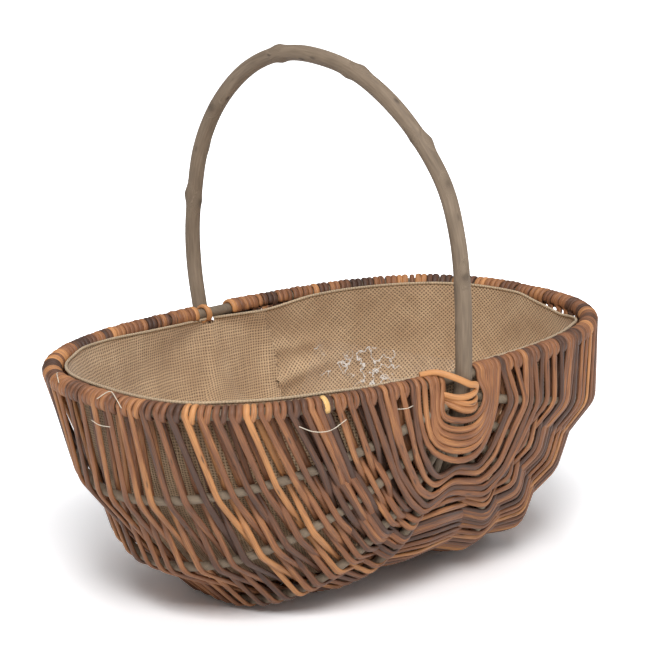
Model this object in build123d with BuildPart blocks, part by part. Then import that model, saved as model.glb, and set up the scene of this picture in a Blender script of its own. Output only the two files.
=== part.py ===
"""Trug garden basket: a frame basket of peeled and bark-on willow with a hessian liner.

A hoop runs from the handle down under the basket, a rim ring is seated inside it, and four ribs
a side fan out from the two places where they cross.  Bands of weaving run from rim to rim under
the basket.  X runs along the basket, Y across it under the handle, and Z up from the ground.
"""

import os
from math import cos, radians, sin, sqrt

from build123d import *

# Rods
hoop_rod_d = 12.6
rim_rod_d = 8.6
rib_rod_d = 7.0
weaver_d = 4.4
rod_clearance = 0.3

# Rim ring, measured on the middle of its rod
rim_length = 470.0
rim_width = 280.0
rim_exponent = 2.67

# Hoop: the handle above the rim and the keel below it, on the middle of its rod
handle_rise = 226.0
keel_drop = 160.0
hoop_offset_share = -0.0366
handle_shares = [
    (-1.000, 0.000), (-1.000, 0.140), (-0.990, 0.290), (-0.950, 0.470), (-0.870, 0.620),
    (-0.690, 0.770), (-0.470, 0.885), (-0.210, 0.966), (0.020, 0.996), (0.200, 1.000),
    (0.380, 0.980), (0.560, 0.930), (0.740, 0.840), (0.880, 0.730), (0.980, 0.600),
    (1.036, 0.430), (1.058, 0.300), (1.045, 0.150), (1.000, 0.000),
]
keel_shares = [
    (1.000, 0.000), (0.960, 0.190), (0.890, 0.460), (0.820, 0.660), (0.690, 0.850),
    (0.500, 0.960), (0.250, 0.995), (0.000, 1.000),
]

# Ribs, from the rim down: the tip's reach and depth, the tied ends' depth, the curve's fullness
basket_depth = 184.0
rib_reach_shares = {"left": [0.940, 0.780, 0.510, 0.265], "right": [1.005, 0.770, 0.630, 0.330]}
rib_depth_shares = {"left": [0.416, 0.750, 0.980, 0.975], "right": [0.400, 0.716, 0.985, 0.980]}
rib_end_shares = [0.080, 0.145, 0.210, 0.275]
rib_exponents = {"left": [2.00, 2.00, 2.05, 2.20], "right": [2.38, 2.43, 2.10, 2.25]}
base_flat_depth = 1.2

# Weaving: the bands end at these shares of the way from the middle to a joint; at each step
# along a stake it passes on the other side of it, past the stake's middle by the bare depth
band_shares = [0.12, 0.30, 0.48, 0.66, 0.84]
band_steps = [4, 4, 3, 3, 3]
bare_depth = 1.0
bay_open_width = 40.0
ring_steps = 12
rim_corners = (-22.5, 22.5, 67.5)

# Lashings at the two joints
lashing_layers = 2
lashing_top = 18.0
lashing_face_width = 24.0
lashing_face_drop = 34.0

# Liner and the film inside it
liner_thickness = 1.5
liner_gap = 0.4
liner_hem_rise = 3.6
liner_end_share = 0.06
liner_seam_share = 0.234
film_thickness = 0.5
film_end_share = 0.66

# Sizes worked out from those above
hoop_r = hoop_rod_d / 2
rim_r = rim_rod_d / 2
rib_r = rib_rod_d / 2
hoop_x = hoop_offset_share * rim_length / 2
hoop_half = rim_width / 2 + rim_r + rod_clearance + hoop_r
wrap_r = rim_r + weaver_d

Y_AXIS = Vector(0, 1, 0)
Z_AXIS = Vector(0, 0, 1)
OUT = Vector(0, 1)


def circle_tangent(before, here, after):
    """Direction at the middle point of the circle through three points."""
    back = here - before
    ahead = after - here
    return (back * ahead.length / back.length + ahead * back.length / ahead.length).normalized()


def bend(start, leave, end):
    """Arc that leaves its start in a given direction and ends at a point of the open plane."""
    chord = end - start
    ahead = chord.normalized()
    slope = leave.dot(ahead)
    bulge = (leave - ahead * slope) * (chord.length / 2 / (1 + slope))
    ThreePointArc(tuple(start), tuple((start + end) / 2 + bulge), tuple(end))


def arc_chain(points, start_tangent, end_tangent):
    """Pairs of tangent arcs through the points, in the open BuildLine."""
    spots = [Vector(*point) for point in points]
    middle = [circle_tangent(*spots[i - 1:i + 2]) for i in range(1, len(spots) - 1)]
    tangents = [start_tangent, *middle, end_tangent]
    for start, end, leave, arrive in zip(spots, spots[1:], tangents, tangents[1:]):
        chord = end - start
        along = chord.dot(leave + arrive)
        turn = 2 * (1 - leave.dot(arrive))
        reach = chord.dot(chord) / (along + sqrt(along**2 + turn * chord.dot(chord)))
        joint = (start + end + (leave - arrive) * reach) / 2
        bend(start, leave, joint)
        bend(end, -arrive, joint)


def half_ring_points(half_width, reach, exponent):
    """Points of half a superellipse, from the front joint out to the tip and back in."""
    points = []
    for step in range(-ring_steps, ring_steps + 1):
        angle = radians(90 * step / ring_steps)
        across = abs(sin(angle))**(2 / exponent) * half_width
        out = max(cos(angle), 0)**(2 / exponent) * reach
        points.append((across if step > 0 else -across, out))
    return points


def stake_plane(x, z, direction):
    """Plane of a stake: its own X is the basket's Y, and its own Y points out of the basket."""
    return Plane(origin=(x, 0, z), x_dir=Y_AXIS, z_dir=Y_AXIS.cross(direction))


def keel_half_width(depth):
    """Distance from the middle to the hoop at a depth below the rim."""
    for (wide, high), (narrow, low) in zip(keel_shares, keel_shares[1:]):
        if low * keel_drop >= depth:
            part_way = (depth / keel_drop - high) / (low - high)
            return hoop_half * (wide + (narrow - wide) * part_way)


def rod(paths, diameter):
    """Round rod along paths that meet end to end."""
    with BuildPart() as body:
        for path in paths:
            with BuildSketch(Plane(origin=path @ 0, z_dir=path % 0)) as section:
                Circle(diameter / 2)
            sweep(section.sketch, path=path)
    return body.part


# Tied ends and tips of the ribs, from the rim's middle; the lowest crest settles the rim's height
sides = {"left": -1, "right": 1}
rib_x = hoop_r + rib_r + rod_clearance
rib_spans = {}
crest_depths = []
for side, sign in sides.items():
    rib_spans[side] = []
    for reach_share, depth_share, end_share in zip(
        rib_reach_shares[side], rib_depth_shares[side], rib_end_shares
    ):
        start = Vector(hoop_x + sign * rib_x, 0, -end_share * basket_depth)
        tip = Vector(sign * reach_share * rim_length / 2, 0, -depth_share * basket_depth)
        rib_spans[side].append((start, tip))
        crest = tip + (tip - start).normalized() * (rib_r + weaver_d)
        crest_depths.append(-crest.Z)
rim_z = max(crest_depths) - base_flat_depth

# Paths of the hoop, the rim and the ribs
keel_plane = stake_plane(hoop_x, rim_z, -Z_AXIS)
keel_outline = [(-y, z) for y, z in keel_shares] + list(reversed(keel_shares[:-1]))
keel_points = [(y * hoop_half, z * keel_drop) for y, z in keel_outline]
handle_points = [(y * hoop_half, -z * handle_rise) for y, z in handle_shares]
front_tangent = circle_tangent(
    Vector(*handle_points[1]), Vector(*handle_points[0]), Vector(*keel_points[1])
)
back_tangent = circle_tangent(
    Vector(*keel_points[-2]), Vector(*keel_points[-1]), Vector(*handle_points[-2])
)
with BuildLine(keel_plane) as keel_line:
    arc_chain(keel_points, front_tangent, back_tangent)
with BuildLine(keel_plane) as handle_line:
    arc_chain(handle_points, -front_tangent, -back_tangent)

rim_lines = {}
stakes = {}
for side, sign in sides.items():
    out = Vector(sign, 0, 0)
    plane = stake_plane(hoop_x, rim_z, out)
    with BuildLine(plane) as rim_lines[side]:
        reach = rim_length / 2 - sign * hoop_x
        arc_chain(half_ring_points(rim_width / 2, reach, rim_exponent), OUT, -OUT)
    stakes[side] = [(rim_lines[side].wire(), plane, rim_r)]

rib_paths = {}
for side, sign in sides.items():
    for number, ((start, tip), exponent) in enumerate(zip(rib_spans[side], rib_exponents[side])):
        plane = stake_plane(start.X, rim_z + start.Z, (tip - start).normalized())
        half_width = keel_half_width(-start.Z)
        with BuildLine(plane) as rib_line:
            ring = half_ring_points(half_width, (tip - start).length, exponent)
            arc_chain(ring, OUT, -OUT)
        rib_paths[f"{side}_rib_{number + 1}"] = rib_line.wire()
        stakes[side].append((rib_line.wire(), plane, rib_r))

all_stakes = stakes["left"] + [(keel_line.wire(), keel_plane, hoop_r)] + stakes["right"][::-1]

# Rods and the room that the weaving leaves for them
rods = {
    "hoop": ([keel_line.wire(), handle_line.wire()], hoop_rod_d),
    "rim": ([line.wire() for line in rim_lines.values()], rim_rod_d),
}
rods |= {name: ([path], rib_rod_d) for name, path in rib_paths.items()}
pieces = {name: rod(paths, diameter) for name, (paths, diameter) in rods.items()}
rod_rooms = [rod(paths, diameter + 2 * rod_clearance) for paths, diameter in rods.values()]


def stake_place(stake, share):
    """Point and outward direction on a stake, from -1 at the front joint to 1 at the back."""
    path, plane, _ = stake
    distance = (share + 1) / 2 * path.length
    place = path.position_at(distance, position_mode=PositionMode.LENGTH)
    tangent = path.tangent_at(distance, position_mode=PositionMode.LENGTH)
    return place, plane.z_dir.cross(tangent).normalized()


def rim_collar(share, side):
    """Outer and inner corners of the wrapping round the rim, from the top down."""
    place, out = stake_place(stakes[side][0], share)
    radius = wrap_r / cos(radians(rim_corners[1]))
    outer, inner = [], []
    for angle in reversed(rim_corners):
        level = out * (radius * cos(radians(angle)))
        rise = Z_AXIS * (radius * sin(radians(angle)))
        outer.append(place + level + rise)
        inner.append(place - level + rise)
    return outer, inner


def weave_section(share, turn=0):
    """Outer and inner points of the weaving across the basket, from rim to rim.

    At turn 1 or -1 it passes outside or inside the first rib and changes sides at each stake; at
    turn 0 it lies on both sides of every stake.
    """
    places = [stake_place(stake, share) for stake in all_stakes]
    radii = [radius for _, _, radius in all_stakes]
    outer, inner = rim_collar(share, "left")
    for i, ((place, out), (after, after_out)) in enumerate(zip(places, places[1:])):
        crest = (radii[i] + radii[i + 1]) / 2 + weaver_d
        closing = max(0, 1 - (after - place).length / bay_open_width)
        half_thickness = weaver_d / 2 + (crest - weaver_d / 2) * closing
        middle = (place + after) / 2
        out_middle = (out + after_out).normalized()
        outer.append(middle + out_middle * half_thickness)
        inner.append(middle - out_middle * half_thickness)
        if i + 2 < len(places):
            side = turn * (-1) ** i
            crest = radii[i + 1] + weaver_d
            outer.append(after + after_out * (-bare_depth if side < 0 else crest))
            inner.append(after - after_out * (-bare_depth if side > 0 else crest))
    right_outer, right_inner = rim_collar(share, "right")
    return outer + right_outer[::-1], inner + right_inner[::-1]


def strip_solid(sections):
    """Closed solid of flat triangles through sections of outer and inner points."""
    corners = []
    for (outer, inner), (next_outer, next_inner) in zip(sections, sections[1:]):
        for i in range(1, len(outer)):
            corners.append((outer[i - 1], next_outer[i], outer[i]))
            corners.append((outer[i - 1], next_outer[i - 1], next_outer[i]))
            corners.append((inner[i - 1], inner[i], next_inner[i]))
            corners.append((inner[i - 1], next_inner[i], next_inner[i - 1]))
        for end in (0, -1):
            corners.append((outer[end], inner[end], next_inner[end]))
            corners.append((outer[end], next_inner[end], next_outer[end]))
    for outer, inner in (sections[0], sections[-1]):
        for i in range(1, len(outer)):
            corners.append((outer[i - 1], outer[i], inner[i]))
            corners.append((outer[i - 1], inner[i], inner[i - 1]))
    return Solid(Shell([Face(Wire.make_polygon(triangle)) for triangle in corners]))


def steps_between(first, last, count):
    """Evenly spaced shares, both ends included."""
    return [round(first + (last - first) * step / count, 6) for step in range(count + 1)]


# Bands of weaving: one in the middle, then pairs towards the front and back joints
band_spans = {"middle_weave": steps_between(-band_shares[0], band_shares[0], band_steps[0])}
for number, (near, far) in enumerate(zip(band_shares, band_shares[1:]), start=1):
    band_spans[f"front_weave_{number}"] = steps_between(-far, -near, band_steps[number])
    band_spans[f"back_weave_{number}"] = steps_between(near, far, band_steps[number])
weave_run = sorted({share for steps in band_spans.values() for share in steps})
weave_turns = {share: (-1) ** number for number, share in enumerate(weave_run)}
weave_turns |= {weave_run[0]: 0, weave_run[-1]: 0}
for name, steps in band_spans.items():
    sections = [weave_section(share, weave_turns[share]) for share in steps]
    with BuildPart() as band:
        add(strip_solid(sections))
        split(bisect_by=Plane.XY, keep=Keep.TOP)
        add(rod_rooms, mode=Mode.SUBTRACT)
    pieces[name] = band.part

# Lashings that close the two joints
for name, sign in {"front_lashing": -1, "back_lashing": 1}.items():
    end_share = sign * band_shares[-1]
    outer, _ = weave_section(end_share)
    face_y = sign * (hoop_half + hoop_r + lashing_layers * weaver_d)
    collar_y = sign * (hoop_half + hoop_r + weaver_d)
    inner_y = sign * rim_width / 2
    half_face = lashing_face_width / 2
    corners = outer + [stake_place(stake, end_share)[0] for stake in all_stakes]
    corners += [(hoop_x + x, face_y, rim_z + z) for x in (-half_face, half_face)
                for z in (wrap_r, -lashing_face_drop)]
    corners += [(hoop_x + x, y, rim_z + lashing_top) for x in (-half_face, half_face)
                for y in (inner_y, collar_y)]
    with BuildPart() as lashing:
        ConvexPolyhedron(corners)
        add([pieces[f"{name.split('_')[0]}_weave_{len(band_shares) - 1}"]], mode=Mode.SUBTRACT)
        add(rod_rooms, mode=Mode.SUBTRACT)
    pieces[name] = lashing.part


def sheet_section(share, first, near, thickness, apex_pull=0):
    """Outer and inner points of a sheet inside the weaving, drawn in towards the joint."""
    chains = []
    _, weave_inner = weave_section(share)
    joint_y = min(abs(point.Y) for point in weave_inner) * (1 if share > 0 else -1)
    into = Y_AXIS * (-joint_y / abs(joint_y))
    last = len(all_stakes) - 1 - first
    for depth in (near, near + thickness):
        apex = Vector(hoop_x, joint_y, rim_z + liner_hem_rise) + into * depth
        chain = []
        for number in range(first, last + 1):
            place, out = stake_place(all_stakes[number], share)
            spot = place - out * (all_stakes[number][2] + weaver_d + depth)
            if number in (0, len(all_stakes) - 1):
                spot += Z_AXIS * liner_hem_rise
            chain.append(spot + (apex - spot) * apex_pull)
        chains.append(chain)
    return chains


# Hessian liner in three sewn panels, and the film that lies in it
liner_run = weave_run[::2]
closed_run = [(liner_run[0], 1 - liner_end_share), *((share, 0) for share in liner_run),
              (liner_run[-1], 1 - liner_end_share)]
liner_solid = strip_solid(
    [sheet_section(share, 0, liner_gap, liner_thickness, pull) for share, pull in closed_run]
)
cross_seam = Plane.YZ.offset(liner_seam_share * rim_length / 2)
liner_cuts = {
    "liner_left": [(cross_seam, Keep.BOTTOM)],
    "liner_right_back": [(cross_seam, Keep.TOP), (Plane.XZ, Keep.BOTTOM)],
    "liner_right_front": [(cross_seam, Keep.TOP), (Plane.XZ, Keep.TOP)],
}
for name, cuts in liner_cuts.items():
    with BuildPart() as panel:
        add(liner_solid)
        for seam, keep in cuts:
            split(bisect_by=seam, keep=keep)
    pieces[name] = panel.part

film_near = liner_gap + liner_thickness + liner_gap
film_run = [share for share in liner_run if abs(share) <= film_end_share]
with BuildPart() as film:
    add(strip_solid([sheet_section(share, 2, film_near, film_thickness) for share in film_run]))
pieces["film"] = film.part

os.makedirs("parts", exist_ok=True)
for name, piece in pieces.items():
    piece.label = name
    export_step(piece, f"parts/{name}.step")
    box = piece.bounding_box()
    print(name, len(piece.solids()), round(piece.volume), piece.is_valid, box.min, box.max)
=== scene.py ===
"""Trug garden basket: willow weaving, bark-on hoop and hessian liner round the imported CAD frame.

Sizes are in millimetres, as in the part's source, and become metres where a mesh is filled.
X runs along the basket, Y across it to the back joint of the handle, and Z up from the ground.
"""

import logging
from dataclasses import dataclass, field
from enum import Enum

import bpy
import numpy as np
from mathutils import Matrix, Vector


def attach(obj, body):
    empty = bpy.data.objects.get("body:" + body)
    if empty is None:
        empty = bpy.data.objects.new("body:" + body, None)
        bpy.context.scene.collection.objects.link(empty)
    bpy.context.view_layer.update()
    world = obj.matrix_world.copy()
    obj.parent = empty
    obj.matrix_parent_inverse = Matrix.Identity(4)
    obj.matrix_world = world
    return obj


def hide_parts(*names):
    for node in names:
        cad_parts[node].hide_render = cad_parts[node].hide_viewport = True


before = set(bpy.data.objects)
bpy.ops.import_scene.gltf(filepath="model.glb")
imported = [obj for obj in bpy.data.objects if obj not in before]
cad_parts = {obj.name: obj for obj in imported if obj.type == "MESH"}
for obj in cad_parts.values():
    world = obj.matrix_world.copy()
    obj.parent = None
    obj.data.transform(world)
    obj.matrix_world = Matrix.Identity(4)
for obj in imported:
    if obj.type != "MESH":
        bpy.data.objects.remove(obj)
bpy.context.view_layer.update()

log = logging.getLogger("trug")
MM = 0.001
BODY = "root"
PHOTO_SIDE = 665
UP = np.array([0.0, 0.0, 1.0])

Array = np.ndarray


# ---------------------------------------------------------------- arithmetic on whole arrays


def unit(vectors: Array) -> Array:
    """Vectors divided by their own lengths."""
    return vectors / np.maximum(np.linalg.norm(vectors, axis=-1, keepdims=True), 1e-9)


def stations(points: Array) -> Array:
    """Distance along a path at each of its points."""
    steps = np.linalg.norm(np.diff(points, axis=0), axis=1)
    return np.concatenate([[0.0], np.cumsum(steps)])


def lerp_rows(at: Array, knots: Array, rows: Array) -> Array:
    """Rows of a table read at given places by straight interpolation, column by column.

    Args:
        at: the places.
        knots: place of each row, rising.
        rows: the table, one row a knot.

    Returns:
        One row a place.
    """
    flat = rows.reshape(len(rows), -1)
    columns = [np.interp(at, knots, flat[:, i]) for i in range(flat.shape[1])]
    return np.stack(columns, axis=-1).reshape(np.shape(at) + rows.shape[1:])


def cubic_through(points: Array, per_span: int, closed: bool = False) -> Array:
    """Smooth curve through points, in equal numbers of steps a span.

    Each span is a Hermite cubic whose end slopes are the slope of the chord between the
    neighbours on both sides, weighted by the spans' lengths.

    Args:
        points: corners of the curve, one a row.
        per_span: steps in each span.
        closed: whether the last point joins the first.

    Returns:
        The curve's points, one a row.
    """
    spots = np.asarray(points, float)
    if closed:
        spots = np.concatenate([spots[-2:], spots, spots[:3]])
    else:
        spots = np.concatenate([2 * spots[:1] - spots[1:2], spots, 2 * spots[-1:] - spots[-2:-1]])
    chord = np.linalg.norm(np.diff(spots, axis=0), axis=1)[:, None]
    slope = np.diff(spots, axis=0) / chord
    tangent = (slope[:-1] * chord[1:] + slope[1:] * chord[:-1]) / (chord[1:] + chord[:-1])
    start, end, span = spots[1:-2], spots[2:-1], chord[1:-1]
    leave, arrive = tangent[:-1] * span, tangent[1:] * span
    t = (np.arange(per_span) / per_span)[None, :, None]
    curve = ((2 * t**3 - 3 * t**2 + 1) * start[:, None] + (t**3 - 2 * t**2 + t) * leave[:, None]
             + (3 * t**2 - 2 * t**3) * end[:, None] + (t**3 - t**2) * arrive[:, None])
    if closed:
        curve = curve[1:-1]
    flat = curve.reshape(-1, spots.shape[1])
    return flat if closed else np.concatenate([flat, spots[-2:-1]])


def softened(grid: Array, reach: int) -> Array:
    """Grid averaged along its rows over a number of neighbours on both sides, ends kept.

    Args:
        grid: points by row and column.
        reach: neighbours on each side.

    Returns:
        The averaged grid.
    """
    padded = np.pad(grid, ((0, 0), (reach, reach), (0, 0)), mode="reflect", reflect_type="odd")
    total = np.cumsum(np.pad(padded, ((0, 0), (1, 0), (0, 0))), axis=1)
    width = 2 * reach + 1
    return (total[:, width:] - total[:, :-width]) / width


def bump(distance: Array, width: float) -> Array:
    """Soft ridge exp(-(distance / width)^2)."""
    return np.exp(-(distance / width)**2)


def rounded_runs(points: Array, normals: Array, reach: float, run_points: int) -> tuple[Array, Array]:
    """Straight runs joined by short bends, with the surface normals carried along.

    At each inner corner a quadratic curve, with the corner as its control point, joins the two
    points that lie the reach, or 0.42 of the shorter run, before and after the corner.

    Args:
        points: corners of the path.
        normals: a direction at each corner that the tube's seam follows.
        reach: length of a bend on each side of its corner.
        run_points: points laid between one bend and the next.

    Returns:
        The path's points and the directions at them.
    """
    run = np.diff(points, axis=0)
    length = np.linalg.norm(run, axis=1)
    ahead = run / length[:, None]
    cut = np.minimum(reach, 0.42 * np.minimum(length[:-1], length[1:]))[:, None]
    before = points[1:-1] - ahead[:-1] * cut
    after = points[1:-1] + ahead[1:] * cut
    u = np.linspace(0, 1, 5)[None, :, None]
    bend = (1 - u)**2 * before[:, None] + 2 * u * (1 - u) * points[1:-1, None] + u**2 * after[:, None]
    starts = np.concatenate([points[:1], after])
    ends = np.concatenate([before, points[-1:]])
    w = (np.arange(1, run_points + 1) / (run_points + 1))[None, :, None]
    straight = starts[:, None] * (1 - w) + ends[:, None] * w
    body = np.concatenate([straight[:-1], bend], axis=1).reshape(-1, 3)
    path = np.concatenate([points[:1], body, straight[-1], points[-1:]])
    corner_at = stations(points)
    there = np.interp(stations(path), [0, stations(path)[-1]], [0, corner_at[-1]])
    return path, unit(lerp_rows(there, corner_at, normals))


# ---------------------------------------------------------------- meshes


@dataclass
class Tube:
    """Rod along a path: its points, the side that its seam faces, half widths, shade and flatness.

    The flatness is the thickness towards the seam over the width across it.
    """

    points: Array
    normals: Array
    radii: Array
    tone: Array | float
    sides: int = 9
    closed: bool = False
    flatness: float = 1.0

    def grid(self) -> tuple[Array, Array, Array]:
        """Surface of the rod: centre + radius (flatness x cos of the angle x normal + sin x binormal).

        Returns:
            Points by ring and side, the angle share of each side, and the distance of each ring.
        """
        if self.closed:
            ahead = np.roll(self.points, -1, axis=0) - np.roll(self.points, 1, axis=0)
        else:
            ahead = np.gradient(self.points, axis=0)
        tangent = unit(ahead)
        normal = unit(self.normals - tangent * np.sum(self.normals * tangent, axis=1, keepdims=True))
        binormal = np.cross(tangent, normal)
        share = np.arange(self.sides) / self.sides
        angle = 2 * np.pi * share[None, :, None]
        radii = np.broadcast_to(np.asarray(self.radii, float).reshape(len(self.points), -1),
                                (len(self.points), self.sides))[..., None]
        around = self.flatness * np.cos(angle) * normal[:, None] + np.sin(angle) * binormal[:, None]
        return self.points[:, None] + radii * around, share, stations(self.points)


def fill_mesh(name: str, points: Array, loops: Array, totals: Array, uv: Array,
              tone: Array | None = None) -> bpy.types.Object:
    """Puts a surface given as arrays into a new object.

    Args:
        name: name of the object.
        points: corners in millimetres, one a row.
        loops: corner numbers of all faces, one face after the other.
        totals: number of corners of each face.
        uv: place on the piece's own map for each entry of loops.
        tone: shade number of each corner, kept as the attribute "tone".

    Returns:
        The object, smooth shaded, at the origin.
    """
    mesh = bpy.data.meshes.new(name)
    mesh.vertices.add(len(points))
    mesh.vertices.foreach_set("co", (points * MM).astype(np.float32).ravel())
    mesh.loops.add(len(loops))
    mesh.loops.foreach_set("vertex_index", loops.astype(np.int32))
    mesh.polygons.add(len(totals))
    begins = np.concatenate([[0], np.cumsum(totals)[:-1]])
    mesh.polygons.foreach_set("loop_start", begins.astype(np.int32))
    mesh.polygons.foreach_set("use_smooth", np.ones(len(totals), bool))
    mesh.update(calc_edges=True)
    layer = mesh.uv_layers.new(name="surface")
    layer.data.foreach_set("uv", uv.astype(np.float32).ravel())
    if tone is not None:
        mesh.attributes.new("tone", "FLOAT", "POINT").data.foreach_set("value", tone.astype(np.float32))
    mesh.validate()
    piece = bpy.data.objects.new(name, mesh)
    bpy.context.scene.collection.objects.link(piece)
    return piece


def quad_net(rows: int, columns: int, around: bool, closed: bool = False) -> Array:
    """Corner numbers of the faces of a grid, by row and column.

    Args:
        rows: rows of points.
        columns: points in a row.
        around: whether the last column joins the first.
        closed: whether the last row joins the first.

    Returns:
        Four corner numbers a face.
    """
    r = np.arange(rows if closed else rows - 1)[:, None]
    c = np.arange(columns if around else columns - 1)[None, :]
    after_r, after_c = (r + 1) % rows, (c + 1) % columns
    corners = [r * columns + c, r * columns + after_c, after_r * columns + after_c, after_r * columns + c]
    return np.stack(np.broadcast_arrays(*corners), axis=-1).reshape(-1, 4)


def tube_piece(name: str, tubes: list[Tube]) -> bpy.types.Object:
    """One object of many rods, each closed at its ends by a flat face.

    Args:
        name: name of the object.
        tubes: the rods.

    Returns:
        The object, with the map (share round the rod, metres along it) and the tone attribute.
    """
    points, loops, totals, maps, tones = [], [], [], [], []
    base = 0
    for tube in tubes:
        grid, share, along = tube.grid()
        rings, sides = grid.shape[:2]
        net = quad_net(rings, sides, True, tube.closed)
        column, row = net % sides, net // sides
        u = share[column] + (column == 0) * np.array([False, True, True, False])
        reach = along[row] + (tube.closed & (row == 0) & (net[:, :1] // sides > 0)) * (
            along[-1] + np.linalg.norm(tube.points[0] - tube.points[-1]))
        points.append(grid.reshape(-1, 3))
        loops.append(net.ravel() + base)
        totals.append(np.full(len(net), 4))
        maps.append(np.stack([u, reach * MM], axis=-1).reshape(-1, 2))
        if not tube.closed:
            ring = np.arange(sides)
            loops += [ring[::-1] + base, ring + base + (rings - 1) * sides]
            totals.append(np.array([sides, sides]))
            maps += [np.full((sides, 2), 0.0), np.full((sides, 2), along[-1] * MM)]
        tones.append(np.broadcast_to(tube.tone, (rings, sides)).ravel())
        base += rings * sides
    return fill_mesh(name, np.concatenate(points), np.concatenate(loops), np.concatenate(totals),
                     np.concatenate(maps), np.concatenate(tones))


def sheet_piece(name: str, grid: Array, uv: Array, keep: Array | None = None) -> bpy.types.Object:
    """One object of a surface given by rows and columns of points.

    Args:
        name: name of the object.
        grid: points by row and column.
        uv: place on the cloth, in metres, of each point.
        keep: which faces stay, by row and column; all of them where it is left out.

    Returns:
        The object.
    """
    rows, columns = grid.shape[:2]
    net = quad_net(rows, columns, False)
    if keep is not None:
        net = net[keep.ravel()]
    used, places = np.unique(net, return_inverse=True)
    return fill_mesh(name, grid.reshape(-1, 3)[used], places.ravel(), np.full(len(net), 4),
                     uv.reshape(-1, 2)[net.ravel()])


# ---------------------------------------------------------------- the frame's own curves


@dataclass
class Stake:
    """One rod of the frame that the weavers cross, by share from the front to the back joint."""

    points: Array
    outward: Array
    radius: float

    @classmethod
    def bent(cls, origin: Array, out: Array, curve: Array, radius: float) -> "Stake":
        """Stake from a flat curve of (across, outward) points laid in its own plane.

        Args:
            origin: middle of the line between its tied ends.
            out: direction, square to Y, in which the curve bows.
            curve: points (distance along Y, distance along out).
            radius: radius of the rod.

        Returns:
            The stake, with its own outward normals in the plane.
        """
        across = np.array([0.0, 1.0, 0.0])
        points = origin + curve[:, :1] * across + curve[:, 1:] * out
        tangent = unit(np.gradient(points, axis=0))
        return cls(points, unit(np.cross(np.cross(across, out), tangent)), radius)

    def length(self) -> float:
        """Length of the rod between the joints."""
        return float(stations(self.points)[-1])

    def at(self, share: Array | float) -> tuple[Array, Array]:
        """Points of the rod's middle and outward normals at shares from -1 to 1.

        Args:
            share: place between the joints, by length.

        Returns:
            The points and the normals.
        """
        along = stations(self.points)
        there = (np.asarray(share, float) + 1) / 2 * along[-1]
        return lerp_rows(there, along, self.points), unit(lerp_rows(there, along, self.outward))


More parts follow.
